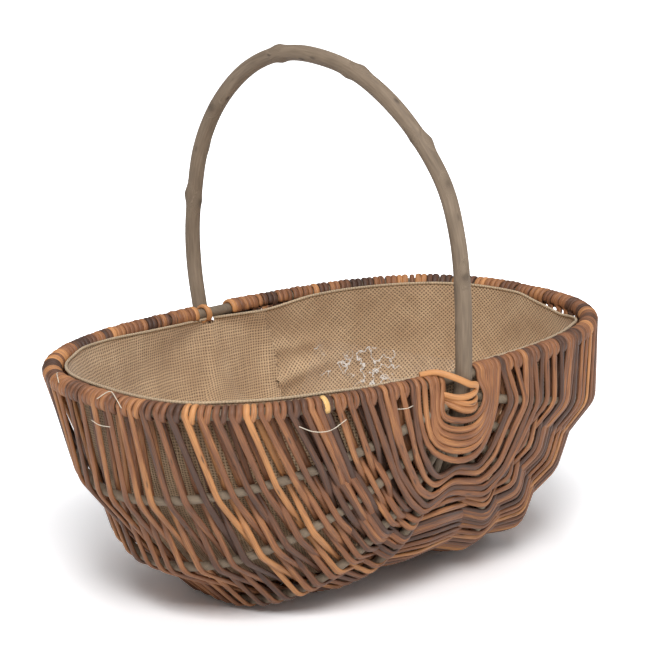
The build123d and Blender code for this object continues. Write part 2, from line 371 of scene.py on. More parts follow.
@dataclass
class BasketForm:
    """Sizes of the basket's frame, as the part's source has them, and the stakes they give."""

    hoop_d: float = 12.6
    rim_d: float = 8.6
    rib_d: float = 7.0
    weaver_d: float = 4.4
    gap: float = 0.3
    rim_length: float = 470.0
    rim_width: float = 280.0
    rim_fullness: float = 2.67
    handle_rise: float = 226.0
    keel_drop: float = 160.0
    hoop_x: float = -8.601
    rim_z: float = 185.935
    depth: float = 184.0
    rib_reach: dict[str, tuple[float, ...]] = field(default_factory=lambda: {
        "left": (0.940, 0.780, 0.510, 0.265), "right": (1.005, 0.770, 0.630, 0.330)})
    rib_depth: dict[str, tuple[float, ...]] = field(default_factory=lambda: {
        "left": (0.416, 0.750, 0.980, 0.975), "right": (0.400, 0.716, 0.985, 0.980)})
    rib_fullness: dict[str, tuple[float, ...]] = field(default_factory=lambda: {
        "left": (2.00, 2.00, 2.05, 2.20), "right": (2.38, 2.43, 2.10, 2.25)})
    rib_end: tuple[float, ...] = (0.080, 0.145, 0.210, 0.275)
    handle_shares: tuple[tuple[float, float], ...] = (
        (-1.000, 0.000), (-1.000, 0.140), (-0.990, 0.290), (-0.950, 0.470), (-0.870, 0.620),
        (-0.690, 0.770), (-0.470, 0.885), (-0.210, 0.966), (0.020, 0.996), (0.200, 1.000),
        (0.380, 0.980), (0.560, 0.930), (0.740, 0.840), (0.880, 0.730), (0.980, 0.600),
        (1.036, 0.430), (1.058, 0.300), (1.045, 0.150), (1.000, 0.000))
    keel_shares: tuple[tuple[float, float], ...] = (
        (1.000, 0.000), (0.960, 0.190), (0.890, 0.460), (0.820, 0.660), (0.690, 0.850),
        (0.500, 0.960), (0.250, 0.995), (0.000, 1.000))
    stakes: list[Stake] = field(init=False)
    hoop_half: float = field(init=False)

    def __post_init__(self) -> None:
        """Works out the hoop's half width and the eleven stakes, left rim to right rim."""
        self.hoop_half = self.rim_width / 2 + self.rim_d / 2 + self.gap + self.hoop_d / 2
        left, right = self.side_stakes("left", -1), self.side_stakes("right", 1)
        self.stakes = left + [self.keel()] + right[::-1]

    def half_ring(self, half_width: float, reach: float, fullness: float) -> Array:
        """Half superellipse: |sin|^(2/n) x half width across, cos^(2/n) x reach outward.

        Args:
            half_width: half its width across.
            reach: how far it bows outward.
            fullness: the power n; 2 is an ellipse.

        Returns:
            Points (across, outward).
        """
        angle = np.linspace(-np.pi / 2, np.pi / 2, 1201)
        across = np.sign(angle) * np.abs(np.sin(angle))**(2 / fullness) * half_width
        out = np.maximum(np.cos(angle), 0)**(2 / fullness) * reach
        return np.stack([across, out], axis=1)

    def keel_outline(self) -> Array:
        """Points (across, depth) of the keel from the front joint to the back."""
        low = np.array(self.keel_shares) * (self.hoop_half, self.keel_drop)
        return np.concatenate([low * (-1, 1), low[-2::-1]])

    def keel(self) -> Stake:
        """The hoop's lower half as a stake."""
        curve = cubic_through(self.keel_outline(), 24)
        return Stake.bent(np.array([self.hoop_x, 0, self.rim_z]), np.array([0, 0, -1.0]), curve, self.hoop_d / 2)

    def side_stakes(self, side: str, sign: int) -> list[Stake]:
        """Rim half and ribs of one side, from the rim down.

        Args:
            side: "left" or "right".
            sign: -1 for the left side, 1 for the right.

        Returns:
            Five stakes.
        """
        middle = np.array([self.hoop_x, 0, self.rim_z])
        curve = self.half_ring(self.rim_width / 2, self.rim_length / 2 - sign * self.hoop_x, self.rim_fullness)
        stakes = [Stake.bent(middle, np.array([sign, 0, 0.0]), curve, self.rim_d / 2)]
        depth_of = np.array(self.keel_shares)[:, 1] * self.keel_drop
        width_of = np.array(self.keel_shares)[:, 0] * self.hoop_half
        beside = sign * (self.hoop_d / 2 + self.rib_d / 2 + self.gap)
        for reach, drop, end, fullness in zip(self.rib_reach[side], self.rib_depth[side], self.rib_end,
                                              self.rib_fullness[side]):
            start = np.array([self.hoop_x + beside, 0, self.rim_z - end * self.depth])
            tip = np.array([sign * reach * self.rim_length / 2, 0, self.rim_z - drop * self.depth])
            half_width = float(np.interp(end * self.depth, depth_of, width_of))
            curve = self.half_ring(half_width, float(np.linalg.norm(tip - start)), fullness)
            stakes.append(Stake.bent(start, unit(tip - start), curve, self.rib_d / 2))
        return stakes

    def hoop_loop(self, per_span: int = 12) -> Array:
        """Middle of the whole hoop, from the front joint over the handle, round and back.

        Args:
            per_span: steps in each span.

        Returns:
            The closed loop's points.
        """
        handle = np.array(self.handle_shares) * (self.hoop_half, self.handle_rise)
        keel = self.keel_outline()[::-1] * (1, -1)
        flat = cubic_through(np.concatenate([handle, keel[1:-1]]), per_span, closed=True)
        return np.stack([np.full(len(flat), self.hoop_x), flat[:, 0], flat[:, 1] + self.rim_z], axis=1)


# ---------------------------------------------------------------- materials


class Nodes:
    """Short calls that add nodes to a tree and join them."""

    def __init__(self, tree: bpy.types.NodeTree) -> None:
        """Keeps the tree that the calls add to."""
        self.tree = tree

    def add(self, kind: str, settings: dict | None = None, **inputs: object) -> bpy.types.Node:
        """Adds a node.

        Args:
            kind: the node's type, without "ShaderNode".
            settings: its own properties.
            inputs: values or sockets for its inputs, by name with _ for spaces, or by number as i0.

        Returns:
            The node.
        """
        node = self.tree.nodes.new("ShaderNode" + kind)
        for name, value in (settings or {}).items():
            setattr(node, name, value)
        for name, value in inputs.items():
            numbered = name[0] == "i" and name[1:].isdigit()
            socket = node.inputs[int(name[1:]) if numbered else name.replace("_", " ")]
            if isinstance(value, bpy.types.NodeSocket):
                self.tree.links.new(value, socket)
            else:
                socket.default_value = value
        return node

    def math(self, operation: str, *values: object) -> bpy.types.NodeSocket:
        """Output of a Math node on up to three values."""
        return self.add("Math", {"operation": operation},
                        **{f"i{i}": value for i, value in enumerate(values)}).outputs[0]

    def blend(self, share: object, low: object, high: object) -> bpy.types.NodeSocket:
        """Colour between two colours."""
        node = self.add("Mix", {"data_type": "RGBA"}, i0=share, i6=low, i7=high)
        return node.outputs[2]

    def ramp(self, value: object, low: float, high: float, to_low: float = 0.0,
             to_high: float = 1.0) -> bpy.types.NodeSocket:
        """Value moved from one range to another and held inside it."""
        return self.add("MapRange", {"clamp": True}, Value=value, From_Min=low, From_Max=high,
                        To_Min=to_low, To_Max=to_high).outputs[0]

    def noise(self, vector: object, scale: float, detail: float = 3.0) -> bpy.types.NodeSocket:
        """Noise value at a vector."""
        return self.add("TexNoise", Vector=vector, Scale=scale, Detail=detail).outputs["Fac"]

    def stretched(self, vector: object, by: tuple[float, float, float]) -> bpy.types.NodeSocket:
        """Vector multiplied part by part."""
        return self.add("VectorMath", {"operation": "MULTIPLY"}, i0=vector, i1=by).outputs[0]

    def publish(self, result: bpy.types.Node, values: dict[str, bpy.types.NodeSocket]) -> None:
        """Joins values to a node's inputs by name."""
        for label, socket in values.items():
            self.tree.links.new(socket, result.inputs[label])

    def seen(self, *rays: str) -> bpy.types.NodeSocket:
        """One where the ray is of a named kind, such as "Is Camera Ray", and nought elsewhere.

        Args:
            rays: outputs of the Light Path node.

        Returns:
            The value.
        """
        light = self.add("LightPath")
        value = light.outputs[rays[0]]
        for ray in rays[1:]:
            value = self.math("MAXIMUM", value, light.outputs[ray])
        return value


def new_group(name: str, inputs: dict[str, str], outputs: dict[str, str]) -> tuple[Nodes, object, object]:
    """Starts a shader node group with named sockets.

    Args:
        name: name of the group.
        inputs: socket types by name.
        outputs: socket types by name.

    Returns:
        The group's tree, its input node and its output node.
    """
    tree = bpy.data.node_groups.new(name, "ShaderNodeTree")
    for names, way in ((inputs, "INPUT"), (outputs, "OUTPUT")):
        for label, kind in names.items():
            tree.interface.new_socket(name=label, in_out=way, socket_type="NodeSocket" + kind)
    return Nodes(tree), tree.nodes.new("NodeGroupInput"), tree.nodes.new("NodeGroupOutput")


def rod_grain_group() -> bpy.types.NodeTree:
    """Bark along a rod: long streaks, blotches, small dark buds and fine wrinkles.

    The patterns are laid on (cos, sin) of the angle round the rod and on the distance along it,
    so that they close round the rod.

    Returns:
        The group.
    """
    kit, given, result = new_group(
        "rod_grain", {"Surface": "Vector", "Tone": "Float"},
        {"Streaks": "Float", "Blotches": "Float", "Buds": "Float", "Height": "Float"})
    parts = kit.add("SeparateXYZ", Vector=given.outputs["Surface"])
    angle = kit.math("MULTIPLY", parts.outputs[0], 2 * np.pi)
    shift = kit.math("MULTIPLY", given.outputs["Tone"], 37.0)
    along = kit.math("ADD", parts.outputs[1], shift)
    ring = kit.add("CombineXYZ", X=kit.math("COSINE", angle), Y=kit.math("SINE", angle), Z=along).outputs[0]
    streaks = kit.noise(kit.stretched(ring, (2.6, 2.6, 34.0)), 1.6, 4)
    blotches = kit.noise(kit.stretched(ring, (0.5, 0.5, 28.0)), 1.0, 3)
    wrinkles = kit.noise(kit.stretched(ring, (1.2, 1.2, 420.0)), 1.0, 2)
    cells = kit.add("TexVoronoi", Vector=kit.stretched(ring, (0.55, 0.55, 34.0)), Scale=1.0, Randomness=1.0)
    buds = kit.ramp(cells.outputs["Distance"], 0.07, 0.16, 1.0, 0.0)
    height = kit.math("ADD", kit.math("MULTIPLY", streaks, 0.7), kit.math("MULTIPLY", wrinkles, 0.3))
    height = kit.math("ADD", height, kit.math("MULTIPLY", buds, 0.9))
    kit.publish(result, {"Streaks": streaks, "Blotches": blotches, "Buds": buds, "Height": height})
    return kit.tree


def thread_group() -> bpy.types.NodeTree:
    """Plain weave of thick threads: crossing ridges that pass over and under, with open corners.

    A thread's ridge is |sin(pi x / pitch)|, and the one on top changes with the sign of
    sin(pi u / pitch) x sin(pi v / pitch); noise along each thread makes it thick and thin.

    Returns:
        The group.
    """
    kit, given, result = new_group("hessian_threads", {"Cloth": "Vector", "Pitch": "Float"},
                                   {"Gaps": "Float", "Slubs": "Float", "Height": "Float"})
    sway = kit.add("TexNoise", Vector=given.outputs["Cloth"], Scale=70.0, Detail=2.0).outputs["Color"]
    moved = kit.add("VectorMath", {"operation": "MULTIPLY_ADD"}, i0=sway, i1=(0.0022, 0.0022, 0),
                    i2=given.outputs["Cloth"])
    parts = kit.add("SeparateXYZ", Vector=moved.outputs[0])
    waves, ridges = [], []
    for axis in (0, 1):
        turns = kit.math("DIVIDE", parts.outputs[axis], given.outputs["Pitch"])
        wave = kit.math("SINE", kit.math("MULTIPLY", turns, np.pi))
        stretch = (1.0, 0.03, 1.0) if axis == 0 else (0.03, 1.0, 1.0)
        lane = kit.stretched(given.outputs["Cloth"], stretch)
        thick = kit.ramp(kit.noise(lane, 900.0, 1), 0.3, 0.7, 0.75, 1.15)
        waves.append(wave)
        ridges.append(kit.math("MULTIPLY", kit.math("ABSOLUTE", wave), thick))
    over = kit.math("MULTIPLY", kit.math("MULTIPLY", *waves), 0.22)
    warp = kit.math("MULTIPLY", ridges[0], kit.math("ADD", 0.78, over))
    weft = kit.math("MULTIPLY", ridges[1], kit.math("SUBTRACT", 0.78, over))
    height = kit.math("MAXIMUM", warp, weft)
    # Gaps: the open corners between threads, which the hessian finish fills with painted shade
    gaps = kit.ramp(kit.math("MAXIMUM", *ridges), 0.42, 0.66, 1.0, 0.0)
    slubs = kit.noise(given.outputs["Cloth"], 38.0, 4)
    kit.publish(result, {"Gaps": gaps, "Slubs": slubs, "Height": height})
    return kit.tree


def new_material(name: str) -> tuple[bpy.types.Material, Nodes, bpy.types.Node]:
    """Material with an empty tree, the calls that fill it, and its output node.

    Args:
        name: name of the material.

    Returns:
        The three of them.
    """
    material = bpy.data.materials.new(name)
    material.use_nodes = True
    material.node_tree.nodes.clear()
    return material, Nodes(material.node_tree), material.node_tree.nodes.new("ShaderNodeOutputMaterial")


@dataclass(frozen=True)
class RodFinish:
    """Finish of a willow rod: three colours by shade, wear, gloss and depth of its grain."""

    name: str
    dark: tuple[float, float, float]
    middle: tuple[float, float, float]
    light: tuple[float, float, float]
    bud: tuple[float, float, float]
    roughness: float = 0.55
    grain_depth: float = 0.25
    bud_share: float = 0.8
    by_tone: bool = True

    def material(self, grain: bpy.types.NodeTree) -> bpy.types.Material:
        """Material that reads the rod's map and tone, or its place where it has no map.

        Args:
            grain: the bark group.

        Returns:
            The material.
        """
        material, kit, output = new_material(self.name)
        if self.by_tone:
            surface = kit.add("UVMap", {"uv_map": "surface"}).outputs[0]
            tone = kit.add("Attribute", {"attribute_name": "tone"}).outputs["Fac"]
        else:
            place = kit.add("TexCoord").outputs["Object"]
            surface = kit.add("Mapping", Vector=place, Scale=(3.0, 3.0, 3.0)).outputs[0]
            tone = kit.noise(place, 9.0, 2)
        bark = kit.add("Group", {"node_tree": grain}, Surface=surface, Tone=tone)
        shade = kit.math("MULTIPLY_ADD", bark.outputs["Streaks"], 1.1, kit.math("SUBTRACT", tone, 0.55))
        shade = kit.math("MULTIPLY_ADD", kit.math("SUBTRACT", bark.outputs["Blotches"], 0.5), 0.8, shade)
        low = kit.blend(kit.ramp(shade, 0.05, 0.5), (*self.dark, 1), (*self.middle, 1))
        colour = kit.blend(kit.ramp(shade, 0.5, 1.0), low, (*self.light, 1))
        spotted = kit.math("MULTIPLY", bark.outputs["Buds"], self.bud_share)
        colour = kit.blend(spotted, colour, (*self.bud, 1))
        rough = kit.ramp(bark.outputs["Streaks"], 0.3, 0.7, self.roughness - 0.08, self.roughness + 0.12)
        bump = kit.add("Bump", Strength=0.7, Distance=self.grain_depth * MM, Height=bark.outputs["Height"])
        shader = kit.add("BsdfPrincipled", Base_Color=colour, Roughness=rough, Normal=bump.outputs[0])
        kit.tree.links.new(shader.outputs[0], output.inputs[0])
        return material


@dataclass(frozen=True)
class HessianFinish:
    """Finish of the liner's hessian: thread colours, painted shade for the gaps and the low parts of the weave,
    and the thread's pitch.
    """

    name: str
    thread: tuple[float, float, float] = (0.56, 0.37, 0.215)
    pale: tuple[float, float, float] = (0.74, 0.53, 0.33)
    # gap colour: painted shade seen in the open gaps between threads
    gap: tuple[float, float, float] = (0.12, 0.07, 0.036)
    pitch: float = 2.4
    # share of the thread colour kept where the weave sinks, as painted shade
    painted_shade_share: float = 0.62
    sheen: float = 0.15

    def material(self, threads: bpy.types.NodeTree) -> bpy.types.Material:
        """Material that reads the cloth's own map in metres.

        Args:
            threads: the hessian group.

        Returns:
            The material.
        """
        material, kit, output = new_material(self.name)
        cloth = kit.add("UVMap", {"uv_map": "surface"}).outputs[0]
        weave = kit.add("Group", {"node_tree": threads}, Cloth=cloth, Pitch=self.pitch * MM)
        colour = kit.blend(kit.ramp(weave.outputs["Slubs"], 0.3, 0.7), (*self.thread, 1), (*self.pale, 1))
        # painted shade: the thread colour darkens to a share of itself where the weave sinks
        lit = kit.ramp(weave.outputs["Height"], 0.35, 0.95, 0.0, 1.0)
        painted_sunk_shade = tuple(self.painted_shade_share * part for part in self.thread)
        colour = kit.blend(kit.math("SUBTRACT", 1.0, lit), colour, (*painted_sunk_shade, 1))
        # painted shade: the open gaps between threads take the gap colour
        colour = kit.blend(kit.math("MULTIPLY", weave.outputs["Gaps"], 0.9), colour, (*self.gap, 1))
        bump = kit.add("Bump", Strength=0.8, Distance=0.5 * MM, Height=weave.outputs["Height"])
        shader = kit.add("BsdfPrincipled", Base_Color=colour, Roughness=0.9, Normal=bump.outputs[0])
        shader.inputs["Sheen Weight"].default_value = self.sheen
        kit.tree.links.new(shader.outputs[0], output.inputs[0])
        return material


@dataclass(frozen=True)
class FilmFinish:
    """Clear thin film, all but unseen except for painted white glints along its creases."""

    name: str = "clear_film"
    # colour of the painted white glints along the creases
    crease: tuple[float, float, float] = (0.95, 0.95, 0.93)

    def material(self) -> bpy.types.Material:
        """Material whose alpha is low except along thin crease lines, which show as painted white glints.

        A crease is where the noise is near 0.5, and shows only in patches of a coarser noise.

        Returns:
            The material.
        """
        material, kit, output = new_material(self.name)
        place = kit.add("TexCoord").outputs["Object"]
        folds = kit.noise(place, 60.0, 5)
        line = kit.math("ABSOLUTE", kit.math("SUBTRACT", folds, 0.5))
        # painted glints: near-white, almost opaque thin lines along the creases, in patches
        crease = kit.ramp(line, 0.0, 0.02, 1.0, 0.0)
        patches = kit.ramp(kit.noise(place, 24.0, 2), 0.50, 0.62)
        alpha = kit.math("MULTIPLY_ADD", kit.math("MULTIPLY", crease, patches), 0.8, 0.03)
        bump = kit.add("Bump", Strength=0.8, Distance=1.5 * MM, Height=folds)
        shader = kit.add("BsdfPrincipled", Base_Color=(*self.crease, 1), Roughness=0.12, Alpha=alpha,
                         Normal=bump.outputs[0])
        kit.tree.links.new(shader.outputs[0], output.inputs[0])
        return material


@dataclass
class Finishes:
    """All the finishes of the basket, made once."""

    willow: bpy.types.Material = field(init=False)
    bark: bpy.types.Material = field(init=False)
    frame_bark: bpy.types.Material = field(init=False)
    hessian: bpy.types.Material = field(init=False)
    hem: bpy.types.Material = field(init=False)
    film: bpy.types.Material = field(init=False)
    fibre: bpy.types.Material = field(init=False)
    peeled: bpy.types.Material = field(init=False)

    def __post_init__(self) -> None:
        """Builds the groups and then each material."""
        grain, threads = rod_grain_group(), thread_group()
        self.willow = RodFinish("willow_rod", (0.062, 0.027, 0.015), (0.250, 0.098, 0.040),
                                (0.600, 0.275, 0.100), (0.05, 0.028, 0.018), 0.55, 0.22).material(grain)
        self.bark = RodFinish("hoop_bark", (0.120, 0.086, 0.058), (0.205, 0.150, 0.102),
                              (0.300, 0.230, 0.165), (0.06, 0.042, 0.03), 0.72, 0.3).material(grain)
        self.frame_bark = RodFinish("frame_bark", (0.110, 0.080, 0.055), (0.200, 0.148, 0.100),
                                    (0.300, 0.230, 0.160), (0.07, 0.05, 0.035), 0.72, 0.3,
                                    0.5, by_tone=False).material(grain)
        # both hessians darken their gaps and low threads as painted shade; the hem's third colour is its gap
        # shade
        self.hessian = HessianFinish("hessian").material(threads)
        self.hem = HessianFinish("hessian_hem", (0.72, 0.52, 0.32), (0.86, 0.66, 0.44),
                                 (0.45, 0.32, 0.18)).material(threads)
        self.film = FilmFinish().material()
        self.fibre = RodFinish("pale_fibre", (0.55, 0.47, 0.36), (0.66, 0.58, 0.46), (0.78, 0.70, 0.58),
                               (0.4, 0.3, 0.2), 0.6, 0.05, 0.0).material(grain)
        self.peeled = RodFinish("peeled_willow", (0.60, 0.34, 0.11), (0.76, 0.47, 0.17),
                                (0.88, 0.62, 0.28), (0.4, 0.2, 0.08), 0.45, 0.1, 0.1).material(grain)


def dress(piece: bpy.types.Object, material: bpy.types.Material, slot: str, *nodes: str) -> None:
    """Gives a new piece its material and body, and hides the CAD nodes that it stands for.

    Args:
        piece: the object.
        material: its material.
        slot: not used.
        nodes: names of the CAD nodes that it replaces.
    """
    piece.data.materials.append(material)
    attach(piece, BODY)
    if nodes:
        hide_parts(*nodes)
    log.info("%s: %d faces", piece.name, len(piece.data.polygons))


# ---------------------------------------------------------------- hoop, rim and ribs


@dataclass
class HoopRod:
    """The bark-on rod that is the handle and the keel, with its knots."""

    form: BasketForm
    sides: int = 28
    # each wave of the thickness: height over the radius, turns in the loop and start
    waves: tuple[tuple[float, float, float], ...] = ((0.022, 5.0, 0.2), (0.014, 13.0, 0.6))
    # each knot: share of the loop's length, angle round the rod, height, length, width and darkness
    knots: tuple[tuple[float, float, float, float, float, float], ...] = (
        (0.3125, -0.05, 1.7, 6.0, 0.7, 0.1), (0.3104, -3.1, 1.3, 6.0, 0.7, 0.1),
        (0.3935, -1.6, 1.0, 4.5, 0.6, 0.7), (0.4668, -0.85, 2.1, 6.5, 0.8, 0.2),
        (0.4710, -3.4, 1.1, 4.5, 0.6, 0.6), (0.2329, 0.5, 1.7, 6.0, 0.7, 0.1),
        (0.2418, -2.6, 1.1, 5.0, 0.6, 0.1), (0.1607, 0.72, 2.0, 6.0, 0.7, 0.1),
        (0.1670, -1.9, 0.9, 4.5, 0.5, 0.6), (0.1287, -0.3, 0.5, 4.0, 0.4, 0.5),
        (0.0697, -0.35, 0.9, 3.5, 0.5, 0.8), (0.0740, -0.45, 0.4, 3.0, 0.3, -0.4),
        (0.43, 1.6, 1.2, 6.0, 0.7, 0.4), (0.20, 2.2, 1.2, 6.0, 0.7, 0.4))

    def build(self, finishes: Finishes) -> None:
        """Rod of radius r0 (1 + slow wave) plus a soft round bump for each knot.

        Args:
            finishes: the materials.
        """
        loop = self.form.hoop_loop()
        along = stations(loop) / stations(loop)[-1]
        angle = 2 * np.pi * np.arange(self.sides) / self.sides
        wave = sum(height * np.sin(2 * np.pi * (turns * along + start)) for height, turns, start in self.waves)
        radius = np.repeat((self.form.hoop_d / 2 * (1 + wave))[:, None], self.sides, axis=1)
        length = stations(loop)[-1]
        tone = np.full(radius.shape, 0.5)
        for share, side, height, run, width, darkness in self.knots:
            far = (along - share)[:, None] * length / run
            turn = (np.angle(np.exp(1j * (angle - side))))[None, :] / width
            spot = np.exp(-far**2 - turn**2)
            radius = radius + height * spot
            tone = tone - darkness * spot**1.5
        middle = np.array([self.form.hoop_x, 0, self.form.rim_z])
        tube = Tube(loop, unit(loop - middle), radius, tone, self.sides, True)
        dress(tube_piece("hoop_rod", [tube]), finishes.bark, "hoop_rod", "hoop")

    def dress_frame(self, finishes: Finishes) -> None:
        """Gives the CAD rim and ribs their bark."""
        for name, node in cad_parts.items():
            if name == "rim" or "_rib_" in name:
                for holder in node.material_slots:
                    holder.material = finishes.frame_bark
                if not node.material_slots:
                    node.data.materials.append(finishes.frame_bark)


# ---------------------------------------------------------------- weaving


class Face(Enum):
    """Side of a stake on which a weaver passes."""

    OUTSIDE = 1
    INSIDE = -1


@dataclass
class Weaving:
    """Willow rods that go from rim to rim under the basket and wrap round the rim.

    A rod is two passes: one inside the first ribs from the right rim to the left, its turns round
    the left rim, one outside the first ribs back to the right rim, and its turns there.  The turns
    of all rods lie side by side on the rim, so that rods with fewer turns stand closer together.
    """

    form: BasketForm
    end_share: float = 0.865
    width: float = 5.2
    rods_a_share: tuple[float, float] = (21.0, 26.0)
    bend_reach: float = 6.5
    coil_step: float = 17.0
    calm_from: float = 0.70
    reach_limit: float = 0.97
    drift: float = 0.9
    wobble: float = 1.1
    thick_end: tuple[float, float] = (0.98, 1.08)
    thin_end: tuple[float, float] = (0.84, 0.96)
    flatness: tuple[float, float] = (0.58, 0.70)
    bulge: float = 0.09
    bulges: tuple[float, float] = (9.0, 16.0)
    tone: tuple[float, float] = (0.46, 0.28)
    tone_limits: tuple[float, float] = (0.02, 0.88)
    lift: float = 0.5
    band_edges: tuple[float, ...] = (0.12, 0.30, 0.48, 0.66, 0.84)
    lean_from: tuple[float, float] = (0.12, 0.935)
    lean: tuple[float, ...] = (0.065, 0.085, 0.065, 0.045, 0.025, 0.045, 0.065, 0.085, 0.065)
    sag: tuple[float, ...] = (0.0, 0.0, 0.01, 0.04, -0.15, 0.04, 0.01, 0.0, 0.0)
    seed: int = 7

    def turn_share(self) -> float:
        """Share of the rim that one turn takes up."""
        return self.width / (self.form.stakes[0].length() / 2)

    def places(self, dice: np.random.Generator) -> list[tuple[float, int]]:
        """Share at which each rod leaves the left rim, and its turns that show there.

        The turns are the room between rods, 1 / (rods in the middle + more towards the joint),
        over a turn's width, rounded up or down by chance.

        Args:
            dice: source of the chance.

        Returns:
            One share and number of turns a rod.
        """
        places, share = [], -self.end_share
        while share < self.end_share:
            room = 1 / (self.rods_a_share[0] + self.rods_a_share[1] * abs(share)) / self.turn_share()
            turns = max(1, int(room + dice.random()))
            share += turns * self.turn_share()
            places.append((share, turns))
        return places

    def crossing(self, share: float, first: Face, half: tuple[float, float], dice: np.random.Generator,
                 to_left: bool) -> tuple[Array, Array]:
        """Corners of one pass over the nine inner stakes, on alternate sides of them.

        Beside the joints, where the stakes meet, a pass stays on its first side.

        Args:
            share: the pass's own share of the way between the joints.
            first: side on which it passes the first rib.
            half: half the rod's width and half its thickness.
            dice: source of the small unevenness.
            to_left: whether it goes from the right rim to the left.

        Returns:
            Corner points and the direction that the seam faces at each.
        """
        inner = list(zip(self.form.stakes[1:-1], self.lean, self.sag))
        order = inner[::-1] if to_left else inner
        near, far = self.lean_from
        rising = np.clip((abs(share) - near) / (far - near), 0, 1)
        slant = np.sign(share) * np.sin(np.pi * rising**0.8)
        points, normals = [], []
        side = first.value
        drift = dice.normal(0, self.drift)
        for stake, lean, sag in order:
            shift = (dice.normal(0, self.wobble) + drift) / (stake.length() / 2) + slant * lean
            shift += np.sign(share) * rising**2 * sag
            place, out = stake.at(float(np.clip(share + shift, -self.reach_limit, self.reach_limit)))
            points.append(place + out * side * (stake.radius + half[1] + self.lift))
            normals.append(out * first.value)
            side = -side if abs(share) < self.calm_from else side
        corners = np.array(points)
        corners[:, 2] = np.maximum(corners[:, 2], half[0] + 0.15)
        return corners, np.array(normals)

    def coil(self, rim: Stake, shares: tuple[float, float], degrees: tuple[float, float],
             thickness: float) -> tuple[Array, Array]:
        """Turns round the rim: rim + (rim radius + half thickness)(cos a x out + sin a x up).

        Args:
            rim: the half of the rim that it wraps.
            shares: where on the rim it starts and ends.
            degrees: angle from outward, at its start and end.
            thickness: half the rod's thickness.

        Returns:
            Points and radial directions.
        """
        count = int(abs(degrees[1] - degrees[0]) / self.coil_step) + 1
        angle = np.radians(np.linspace(*degrees, count))[:, None]
        place, out = rim.at(np.linspace(*shares, count))
        radial = np.cos(angle) * out + np.sin(angle) * UP
        return place + radial * (rim.radius + thickness + 0.05), radial

    def rod(self, share: float, turns: int, dice: np.random.Generator) -> Tube:
        """One rod of two passes with its turns round both rims.

        Angles on the rim are in degrees from outward: the rod starts and ends tucked inside it.

        Args:
            share: where it leaves the left rim for its outside pass.
            turns: turns that show on each rim.
            dice: source of the small unevenness.

        Returns:
            The rod.
        """
        step = self.turn_share()
        wide = self.width / 2 * dice.uniform(*self.thick_end)
        narrow = self.width / 2 * dice.uniform(*self.thin_end)
        ends = (wide, narrow) if dice.random() < 0.5 else (narrow, wide)
        flatness = dice.uniform(*self.flatness)
        half = ((wide + narrow) / 2, (wide + narrow) / 2 * flatness)
        left, right = self.form.stakes[0], self.form.stakes[-1]
        inside = share - turns / 2 * step
        around = 360 * (turns - 1)
        jig = dice.normal(0, 0.06, 4) * step
        start, start_n = self.coil(right, (inside + jig[0], inside + jig[0]), (228, 205), half[1])
        first, first_n = self.crossing(inside, Face.INSIDE, half, dice, True)
        turn, turn_n = self.coil(left, (share - (turns - 0.46) * step + jig[1], share + jig[2]),
                                 (212, 8 - around), half[1])
        second, second_n = self.crossing(share, Face.OUTSIDE, half, dice, False)
        last, last_n = self.coil(right, (share - (turns - 1) * step + jig[3], share + 0.4 * step + jig[3]),
                                 (-8, 195 + around), half[1])
        legs = []
        for before, corners, normals, after in ((start, first, first_n, turn), (turn, second, second_n, last)):
            joined = np.concatenate([before[-1:], corners, after[:1]])
            facing = np.concatenate([normals[:1], normals, normals[-1:]])
            path, side = rounded_runs(joined, facing, self.bend_reach, 2)
            legs.append((path[1:-1], side[1:-1]))
        points = np.concatenate([start, legs[0][0], turn, legs[1][0], last])
        normals = np.concatenate([start_n, legs[0][1], turn_n, legs[1][1], last_n])
        along = stations(points) / stations(points)[-1]
        wave = 1 + self.bulge * np.sin(2 * np.pi * (dice.uniform(*self.bulges) * along + dice.random()))
        radii = np.interp(along, [0, 1], ends) * wave
        points[:, 2] = np.maximum(points[:, 2], radii + 0.05)
        tone = float(np.clip(dice.normal(*self.tone), *self.tone_limits))
        return Tube(points, normals, radii, tone, 10, flatness=flatness)

    def band_of(self, share: float) -> str:
        """Name of the CAD node in which a share of the weaving lies.

        Args:
            share: the share between the joints.

        Returns:
            The node's name.
        """
        place = int(np.searchsorted(self.band_edges, abs(share)))
        end = "front" if share < 0 else "back"
        return f"{end}_weave_{min(place, 4)}" if place else "middle_weave"

    def build(self, finishes: Finishes) -> None:
        """Makes all rods, gathered in the bands of the CAD nodes that they replace.

        Args:
            finishes: the materials.
        """
        dice = np.random.default_rng(self.seed)
        bands: dict[str, list[Tube]] = {}
        for share, turns in self.places(dice):
            bands.setdefault(self.band_of(share), []).append(self.rod(share, turns, dice))
        for name, rods in bands.items():
            dress(tube_piece(f"{name}_rods", rods), finishes.willow, "willow_weave", name)


# ---------------------------------------------------------------- joints


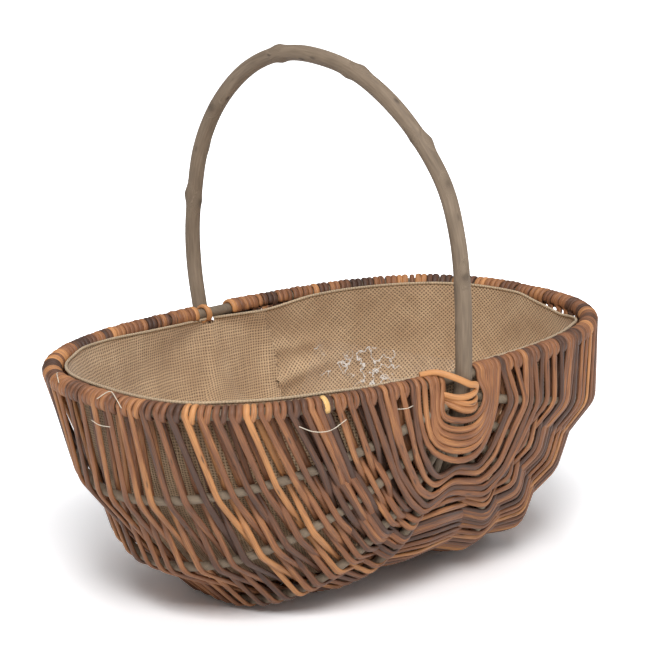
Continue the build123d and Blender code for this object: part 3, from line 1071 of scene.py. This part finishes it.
@dataclass
class Joints:
    """Lashings where the hoop, the rim and the ribs meet.

    Places are (across, outward, height) from the point of the hoop's middle level with the rim's:
    outward is away from the basket, so one set of places serves both joints.
    """

    form: BasketForm
    weaving: Weaving
    rim_shares: tuple[float, ...] = (0.872, 0.886, 0.900, 0.914, 0.928, 0.942)
    drops: tuple[float, ...] = (58.0, 51.0, 45.5, 40.0, 34.5, 27.5)
    # short strands: over the handle and back below it (front joint alone), then two below that
    front_ties: tuple[tuple[tuple[float, float, float], ...], ...] = (
        ((-34, -12, 8.5), (-22, -7, 9), (-13, 4, 5.5), (-2, 9.6, -0.5), (5.5, 8.6, -3), (7, 7, -6.5),
         (-1, 9.6, -8.8), (-10, 6, -10), (-16, -1, -8.5), (-21, -8, -6)),
        ((-20, -8, -9), (-14.5, -2.5, -12), (-9, 5, -14.5), (-1, 9.4, -15.8), (7, 6.5, -14.8), (13, -1, -12)),
        ((-18, -3, -14), (-13, 3, -16.8), (-8, 7.2, -19.5), (-1, 9.4, -20.6), (7, 6.8, -19.6), (12, 0, -17)))
    width: float = 5.4
    flatness: float = 0.64
    tie_tones: tuple[float, float, float] = (0.95, 0.85, 0.7)
    # a hanging strand bends beside the hoop at knee = share x drop + distance
    knee: tuple[float, float] = (0.35, 13.0)
    tone: tuple[float, float] = (0.62, 0.24)
    tone_limits: tuple[float, float] = (0.05, 0.98)
    seed: int = 3

    def place(self, sign: int, corners: object) -> Array:
        """Points in the basket's frame of places given from a joint.

        Args:
            sign: -1 for the front joint, 1 for the back.
            corners: the places.

        Returns:
            The points.
        """
        across, outward, height = np.array(corners, float).T
        away = sign * (self.form.hoop_half + outward)
        return np.stack([self.form.hoop_x + across, away, self.form.rim_z + height], axis=1)

    def tie(self, sign: int, corners: object, tone: float) -> Tube:
        """Short strand along a smooth curve, flat against the joint.

        Args:
            sign: -1 for the front joint, 1 for the back.
            corners: places that it passes.
            tone: its shade.

        Returns:
            The strand, thinner towards its ends.
        """
        path = cubic_through(self.place(sign, corners), 6)
        facing = unit(path - np.array([self.form.hoop_x, sign * self.form.hoop_half * 0.93, self.form.rim_z]))
        width = self.width / 2 * (1 - 0.25 * np.abs(np.linspace(-1, 1, len(path)))**3)
        return Tube(path, facing * (1, 1, 0.3), width, tone, 10, flatness=self.flatness)

    def hanging(self, sign: int, share: float, drop: float, dice: np.random.Generator) -> Tube:
        """Strand over the left rim, down across the hoop's face, and up over the right rim.

        Args:
            sign: -1 for the front joint, 1 for the back.
            share: share of the rim at which it crosses both rims.
            drop: depth below the rim at which it crosses the hoop.
            dice: source of the small unevenness.

        Returns:
            The strand.
        """
        half = self.width / 2 * dice.uniform(0.9, 1.04)
        thick = half * self.flatness
        left, right = self.form.stakes[0], self.form.stakes[-1]
        shift = dice.normal(0, 0.003)
        over, over_n = self.weaving.coil(left, (sign * share, sign * (share + shift)), (205, 0), thick)
        away, away_n = self.weaving.coil(right, (sign * (share - 0.01), sign * (share - 0.015)), (-4, 200), thick)
        knee = self.knee[0] * drop + self.knee[1]
        corners = self.place(sign, ((-knee, 3.2, -0.82 * drop), (-7, 8.6, -drop), (5, 8.8, -0.97 * drop),
                                    (knee * 0.92, 3.4, -0.52 * drop)))
        path = cubic_through(np.concatenate([over[-3:], corners, away[:3]]), 5)[5:-5]
        ends = over[:-2], away[2:]
        points = np.concatenate([ends[0], path, ends[1]])
        outward = np.array([0.0, sign, 0.0])
        facing = np.concatenate([over_n[:-2], np.repeat(outward[None], len(path), axis=0), away_n[2:]])
        facing[len(over_n) - 2:len(over_n) + 4] += over_n[-1]
        facing[-len(away_n) - 4:-len(away_n) + 2] += away_n[0]
        wave = 1 + 0.05 * np.sin(np.linspace(0, 17, len(points)) + 6 * dice.random())
        tone = float(np.clip(dice.normal(*self.tone), *self.tone_limits))
        return Tube(points, unit(facing), half * wave, tone, 10, flatness=self.flatness)

    def lone_turn(self, share: float, tone: float) -> Tube:
        """One turn round the left rim beside the back joint, its ends tucked inside.

        Args:
            share: where on the rim it starts.
            tone: its shade.

        Returns:
            The turn.
        """
        half = self.width / 2
        points, normals = self.weaving.coil(self.form.stakes[0], (share, share - self.weaving.turn_share()),
                                            (230, -130), half * self.flatness)
        return Tube(points, normals, np.full(len(points), half), tone, 10, flatness=self.flatness)

    def build(self, finishes: Finishes) -> None:
        """Makes both lashings; the back one has the two short ties and a lone turn."""
        dice = np.random.default_rng(self.seed)
        for name, sign in (("front_lashing", -1), ("back_lashing", 1)):
            rods = [self.hanging(sign, share, drop, dice) for share, drop in zip(self.rim_shares, self.drops)]
            if sign < 0:
                rods += [self.tie(sign, *tie) for tie in zip(self.front_ties, self.tie_tones)]
            else:
                rods += [self.tie(sign, corners, 0.6) for corners in self.front_ties[1:]]
                rods.append(self.lone_turn(0.988, 0.9))
            dress(tube_piece(f"{name}_rods", rods), finishes.willow, "willow_weave", name)


# ---------------------------------------------------------------- liner and film


@dataclass(frozen=True)
class Crease:
    """Soft ridge on the cloth along the line x = start + slant x depth, faded in with the depth."""

    start: float
    slant: float
    height: float
    width: float
    fade: float

    def over(self, x: Array, down: Array) -> Array:
        """Height of the ridge at places along the basket and depths below the rim."""
        line = self.start + self.slant * down
        return self.height * bump(x - line, self.width) * np.clip(down / self.fade, 0, 1)


@dataclass(frozen=True)
class PocketFold:
    """Fold that bounds the pocket beside the cross seam: level, fall, width, height and power."""

    level: float
    fall: float
    width: float
    height: float
    power: float

    def over(self, along: Array, down: Array) -> Array:
        """Height of the fold at shares along the pocket, 1 where it has died out."""
        return self.height * bump(down - self.level - self.fall * along, self.width) * (1 - along)**self.power


@dataclass
class Liner:
    """Hessian liner in three sewn panels, drawn taut inside the weaving, with a turned hem.

    One seam crosses the basket right of the handle, and one runs from it along the middle to the
    right tip.  Right of the cross seam the cloth lies on the bias.
    """

    form: BasketForm
    rows: int = 150
    columns: int = 200
    clearance: float = 0.5
    thickness: float = 1.2
    cross_seam: float = 55.0
    seam_lean: tuple[float, float] = (14.0, 45.0)
    woven_share: float = 0.84
    fan_rows: int = 13
    closing: float = 0.94
    tuck: float = 2.0
    softening: int = 8
    seam_overlap: float = 1.5
    hem_radius: float = 1.15
    floor_from: float = 0.8
    cut_share: float = 0.62
    # proud edge of the left panel: height, width, and the depth and least share of its fade
    proud_edge: tuple[float, float, float, float] = (4.2, 11.0, 30.0, 0.25)
    left_creases: tuple[Crease, ...] = (Crease(-60, -0.35, 1.3, 15, 60), Crease(-130, 0.2, 1.1, 18, 50))
    right_crease: Crease = Crease(150, -0.4, 1.4, 14, 60)
    # pocket: where it starts and how far it runs, the least x of its lip, the least y of both folds
    pocket: tuple[float, float] = (60.0, 75.0)
    pocket_from: tuple[float, float] = (50.0, 40.0)
    lip: PocketFold = PocketFold(70, -16, 7, 6.5, 0.7)
    brow: PocketFold = PocketFold(42, 2, 6, 3.2, 1.0)
    hem_left: tuple[tuple[float, float], ...] = (
        (-1.0, 4.0), (-0.75, 4.5), (-0.64, 6.2), (-0.36, 6.4), (-0.30, 5.4), (0.03, 5.0), (0.13, 4.5),
        (0.38, 2.2), (0.46, 4.2), (0.59, 2.1), (0.73, -0.6), (0.88, -2.1), (1.0, -4.0))
    hem_right: tuple[tuple[float, float], ...] = (
        (-1.0, 3.5), (-0.4, 3.0), (-0.25, -3.0), (-0.15, -7.3), (-0.07, -3.8), (-0.03, -2.0), (0.01, 1.9),
        (0.3, 2.0), (0.6, 1.5), (0.69, 0.3), (0.785, -3.6), (0.88, -5.9), (1.0, -5.0))

    def cage(self, depth: float) -> Array:
        """Rows of points inside the stakes, by share from joint to joint, closed towards both joints.

        Each row runs straight between the points that lie inside every stake by its radius, a
        weaver and the depth, and is then averaged over a few steps, which rounds its corners
        inward; towards a joint the rows close on a point of the hem, tucked up to the rim.

        Args:
            depth: distance inward from the weaving.

        Returns:
            The grid of points.
        """
        form = self.form
        shares = np.linspace(-self.woven_share, self.woven_share, self.rows)
        spots = []
        for number, stake in enumerate(form.stakes):
            place, out = stake.at(shares)
            spot = place - out * (stake.radius + form.weaver_d + depth)
            if number in (0, len(form.stakes) - 1):
                spot[:, 2] += np.interp(shares, *np.array(self.hem_right if number else self.hem_left).T)
            spots.append(spot)
        cage = np.stack(spots, axis=1)
        at = np.linspace(0, len(spots) - 1, self.columns + 1)
        span = np.minimum(at.astype(int), len(spots) - 2)
        part = (at - span)[None, :, None]
        grid = softened(cage[:, span] * (1 - part) + cage[:, span + 1] * part, self.softening)
        pulls = np.linspace(self.closing, 0, self.fan_rows + 1)[:-1, None, None]
        fans = []
        for row in (0, -1):
            line = grid[row]
            rise = 0.5 * (self.hem_left[row][1] + self.hem_right[row][1])
            level = np.abs(line[:, 1]).max() + self.tuck
            apex = np.array([form.hoop_x, np.sign(line[0, 1]) * level, form.rim_z + rise])
            fans.append(line[None] + (apex - line)[None] * pulls)
        return np.concatenate([fans[0], grid, fans[1][::-1]])

    def inward(self, grid: Array) -> Array:
        """Direction square to the grid at each point, towards the inside of the basket.

        Args:
            grid: points by row and column.

        Returns:
            Unit vectors.
        """
        facing = unit(np.cross(np.gradient(grid, axis=0), np.gradient(grid, axis=1)))
        middle = np.array([0, 0, self.form.rim_z])
        return facing * np.sign(np.sum(facing * (middle - grid), axis=2, keepdims=True))

    def folded(self, grid: Array, left: bool) -> Array:
        """Grid with its folds, inward: a proud edge and two creases left, a pocket and one right.

        Args:
            grid: points by row and column.
            left: whether it is the left panel's.

        Returns:
            The grid moved inward by the folds' heights.
        """
        x, y, down = grid[..., 0], grid[..., 1], self.form.rim_z - grid[..., 2]
        if left:
            height, width, depth, least = self.proud_edge
            fold = height * np.clip(down / depth, least, 1) * bump(x - self.seam_x(down), width)
            fold = fold + sum(crease.over(x, down) for crease in self.left_creases)
        else:
            start, run = self.pocket
            along = np.clip((x - start) / run, 0, 1)
            fold = self.lip.over(along, down) * (x > self.pocket_from[0]) + self.brow.over(along, down)
            fold = fold * (y > self.pocket_from[1]) + self.right_crease.over(x, down)
        return grid + self.inward(grid) * fold[..., None]

    def seam_x(self, down: Array) -> Array:
        """Place of the cross seam at a depth below the rim; near the rim it leans to the left."""
        shift, reach = self.seam_lean
        return self.cross_seam - shift * np.clip(1 - down / reach, 0, 1)

    def cloth(self, grid: Array, bias: bool) -> Array:
        """Place on the cloth of each point: round the wall and down it, or across the floor.

        Round the wall it is the length of the rim's ellipse up to the point's bearing, and down
        the wall it is the depth plus the distance drawn in from the ellipse.

        Args:
            grid: points by row and column.
            bias: whether the cloth is turned by 45 degrees.

        Returns:
            Places on the cloth in metres.
        """
        half = np.array([self.form.rim_length, self.form.rim_width]) / 2 - 10
        bearing = np.linspace(-np.pi, np.pi, 721)
        ring = np.stack([np.cos(bearing), np.sin(bearing)], axis=1) * half
        flat = grid[..., :2] / half
        round_it = np.interp(np.arctan2(flat[..., 1], flat[..., 0]), bearing, stations(ring))
        drawn_in = (1 - np.clip(np.linalg.norm(flat, axis=2), 0, 1)) * half.mean()
        wall = np.stack([round_it, self.form.rim_z - grid[..., 2] + drawn_in], axis=-1)
        floor = np.abs(self.inward(grid)[..., 2]) > self.floor_from
        place = np.where(floor[..., None], grid[..., :2], wall)
        turned = np.stack([place[..., 0] + place[..., 1], place[..., 0] - place[..., 1]], axis=-1) / np.sqrt(2)
        return (turned if bias else place) * MM

    def build(self, finishes: Finishes) -> None:
        """Makes the three panels and the hem.

        Args:
            finishes: the materials.
        """
        plain = self.cage(self.clearance + self.thickness)
        for name, left, front in (("liner_left", True, None), ("liner_right_back", False, False),
                                  ("liner_right_front", False, True)):
            grid = self.folded(plain, left)
            middle = 0.25 * (grid[:-1, :-1] + grid[1:, :-1] + grid[:-1, 1:] + grid[1:, 1:])
            beside = middle[..., 0] - self.seam_x(self.form.rim_z - middle[..., 2])
            lap = self.seam_overlap
            keep = beside < lap if left else (beside > -lap) & ((middle[..., 1] < 0) == front)
            piece = sheet_piece(f"{name}_panel", grid, self.cloth(grid, not left), keep)
            dress(piece, finishes.hessian, "hessian", name)
        rolls = [Tube(softened(plain[None, :, column], 2)[0], np.tile(UP, (len(plain), 1)),
                      np.full(len(plain), self.hem_radius), 0.5, 10) for column in (0, -1)]
        dress(tube_piece("liner_hem", rolls), finishes.hem, "hessian")


@dataclass
class Film:
    """Clear film that lies crumpled low in the liner."""

    liner: Liner
    above: float = 5.2
    crumple: float = 1.5
    short: tuple[int, int] = (28, 20)
    cut_over: float = 1.05

    def build(self, finishes: Finishes) -> None:
        """A sheet over the liner's lower part, raised by small crossing waves.

        Args:
            finishes: the materials.
        """
        rows, columns = self.short
        whole = self.liner.cage(self.liner.clearance + self.liner.thickness + self.above)
        low = whole[rows:-rows, columns:-columns]
        x, y, z = low[..., 0], low[..., 1], low[..., 2]
        crumple = self.crumple * np.abs(np.sin(x / 9 + np.sin(z / 13) * 2) * np.sin(y / 11 - np.sin(x / 17) * 2))
        low = low + self.liner.inward(low) * crumple[..., None]
        piece = sheet_piece("film_sheet", low, self.liner.cloth(low, False))
        dress(piece, finishes.film, "film", "film")


@dataclass
class Oddments:
    """Stray fibres and the one wrap that has lost its bark, on the rim's outer side."""

    form: BasketForm
    # each fibre: (share of the left rim, outward, height) from the rim's middle
    fibres: tuple[tuple[tuple[float, float, float], ...], ...] = (
        ((-0.525, 9, -10), (-0.56, 9.5, -15), (-0.60, 9.5, -16), (-0.645, 9, -10)),
        ((-0.02, 9.2, -14), (-0.05, 9.8, -15.5), (-0.085, 9.2, -15)),
        ((-0.79, 8.6, -10), (-0.82, 9.2, -11), (-0.845, 8.8, -10)),
        ((0.16, 2, 8.2), (0.135, 6, 9.5), (0.11, 8.5, 5)),
        ((-0.04, 8.6, 3), (-0.07, 4, 9.5), (-0.10, 7.5, 7), (-0.12, 8.8, 1)))
    fibre_radius: float = 0.32
    peeled_share: float = -0.596
    peeled_half: tuple[float, float] = (2.3, 2.6)
    peeled_degrees: tuple[float, float] = (88.0, -28.0)

    def build(self, weaving: Weaving, finishes: Finishes) -> None:
        """Makes the fibres as one piece and the peeled wrap as another.

        Args:
            weaving: gives the turn of the wrap.
            finishes: the materials.
        """
        rim = self.form.stakes[0]
        hairs = []
        for corners in self.fibres:
            share, outward, height = np.array(corners).T
            place, out = rim.at(share)
            path = cubic_through(place + out * outward[:, None] + UP * height[:, None], 8)
            hairs.append(Tube(path, np.tile(UP, (len(path), 1)), np.full(len(path), self.fibre_radius), 0.6, 6))
        dress(tube_piece("stray_fibres", hairs), finishes.fibre, "hessian")
        half, lift = self.peeled_half
        points, normals = weaving.coil(rim, (self.peeled_share, self.peeled_share - 0.004),
                                       self.peeled_degrees, lift)
        wrap = Tube(points, normals, np.full(len(points), half), 0.5, 10, flatness=0.6)
        dress(tube_piece("peeled_wrap", [wrap]), finishes.peeled, "willow_weave")


# ---------------------------------------------------------------- studio


@dataclass
class Studio:
    """Pale floor, soft lamps and the photograph's camera."""

    form: BasketForm
    azimuth: float = -43.19
    elevation: float = 14.535
    distance: float = 1880.0
    focal_px: float = 2383.0
    rim_middle_px: tuple[float, float] = (332.29, 341.43)
    sensor: float = 36.0
    floor_half: float = 6.0
    glow_reach: tuple[float, float] = (0.30, 0.90)
    paper: tuple[float, float, float] = (0.82, 0.82, 0.82)
    paper_seen: tuple[float, float, float] = (1.34, 1.34, 1.36)
    ambient: float = 0.30
    aim: tuple[float, float, float] = (0.0, 0.0, 0.15)
    # each lamp: name, place, power in watts and size
    lamps: tuple[tuple[str, tuple[float, float, float], float, float], ...] = (
        ("key", (-1.3, -1.5, 2.0), 60, 1.0), ("fill", (1.5, -1.9, 1.2), 7, 1.6),
        ("top", (0.1, 0.2, 2.6), 20, 1.8))

    def camera(self) -> None:
        """Camera at the fitted place; the shift puts the rim's middle on its pixel."""
        turn, rise = np.radians(self.azimuth), np.radians(self.elevation)
        right = Vector((np.cos(turn), np.sin(turn), 0))
        back = Vector((np.sin(turn) * np.cos(rise), -np.cos(turn) * np.cos(rise), np.sin(rise)))
        up = back.cross(right)
        data = bpy.data.cameras.new("camera")
        data.sensor_width = self.sensor
        data.lens = self.sensor * self.focal_px / PHOTO_SIDE
        data.shift_x = (PHOTO_SIDE / 2 - self.rim_middle_px[0]) / PHOTO_SIDE
        data.shift_y = (self.rim_middle_px[1] - PHOTO_SIDE / 2) / PHOTO_SIDE
        data.clip_start, data.clip_end = 0.05, 50
        camera = bpy.data.objects.new("camera", data)
        place = Vector((0, 0, self.form.rim_z * MM)) + back * self.distance * MM
        turned = Matrix((right, up, back)).transposed().to_4x4()
        camera.matrix_world = Matrix.Translation(place) @ turned
        bpy.context.scene.collection.objects.link(camera)
        bpy.context.scene.camera = camera

    def floor(self) -> None:
        """Floor that keeps the shadow; seen rays find it white, with a glow that rises outward."""
        half = self.floor_half
        mesh = bpy.data.meshes.new("floor")
        mesh.from_pydata([(-half, -half, 0), (half, -half, 0), (half, half, 0), (-half, half, 0)], [],
                         [(0, 1, 2, 3)])
        floor = bpy.data.objects.new("floor", mesh)
        bpy.context.scene.collection.objects.link(floor)
        material, kit, output = new_material("floor_paper")
        seen = kit.seen("Is Camera Ray", "Is Glossy Ray", "Is Transmission Ray")
        away = kit.add("VectorMath", {"operation": "LENGTH"}, i0=kit.add("TexCoord").outputs["Object"])
        level = kit.ramp(away.outputs["Value"], *self.glow_reach, 0.0, 1.0)
        paper = kit.add("BsdfDiffuse", Color=kit.blend(seen, (*self.paper, 1), (*self.paper_seen, 1)))
        glow = kit.add("Emission", Color=(1, 1, 1, 1), Strength=kit.math("MULTIPLY", seen, level))
        both = kit.add("AddShader", i0=paper.outputs[0], i1=glow.outputs[0])
        kit.tree.links.new(both.outputs[0], output.inputs[0])
        mesh.materials.append(material)

    def world(self) -> None:
        """Even pale surround that the camera, gloss and glass see as white."""
        world = bpy.data.worlds.new("studio")
        bpy.context.scene.world = world
        world.use_nodes = True
        world.node_tree.nodes.clear()
        kit = Nodes(world.node_tree)
        seen = kit.seen("Is Camera Ray", "Is Transmission Ray")
        strength = kit.ramp(seen, 0.0, 1.0, self.ambient, 1.0)
        background = kit.add("Background", Color=(1, 1, 1, 1), Strength=strength)
        output = world.node_tree.nodes.new("ShaderNodeOutputWorld")
        kit.tree.links.new(background.outputs[0], output.inputs[0])

    def lamp(self, name: str, place: tuple[float, float, float], power: float, size: float) -> None:
        """Square soft lamp in metres, aimed at the basket's middle.

        Args:
            name: its name.
            place: where it stands.
            power: its power in watts.
            size: length of its side.
        """
        data = bpy.data.lights.new(name, "AREA")
        data.energy, data.size = power, size
        lamp = bpy.data.objects.new(name, data)
        spot = Vector(place)
        lamp.location = spot
        lamp.rotation_euler = (Vector(self.aim) - spot).to_track_quat("-Z", "Y").to_euler()
        bpy.context.scene.collection.objects.link(lamp)

    def build(self) -> None:
        """Sets up the whole studio."""
        self.camera()
        self.floor()
        self.world()
        for lamp in self.lamps:
            self.lamp(*lamp)
        bpy.context.scene.view_settings.view_transform = "Standard"


def main() -> None:
    """Builds the basket and its studio round the CAD frame."""
    logging.basicConfig(level=logging.INFO, format="%(name)s %(message)s")
    form = BasketForm()
    Studio(form).build()
    finishes = Finishes()
    hoop = HoopRod(form)
    hoop.build(finishes)
    hoop.dress_frame(finishes)
    weaving = Weaving(form)
    weaving.build(finishes)
    Joints(form, weaving).build(finishes)
    Oddments(form).build(weaving, finishes)
    liner = Liner(form)
    liner.build(finishes)
    Film(liner).build(finishes)


if __name__ == "__main__":
    main()
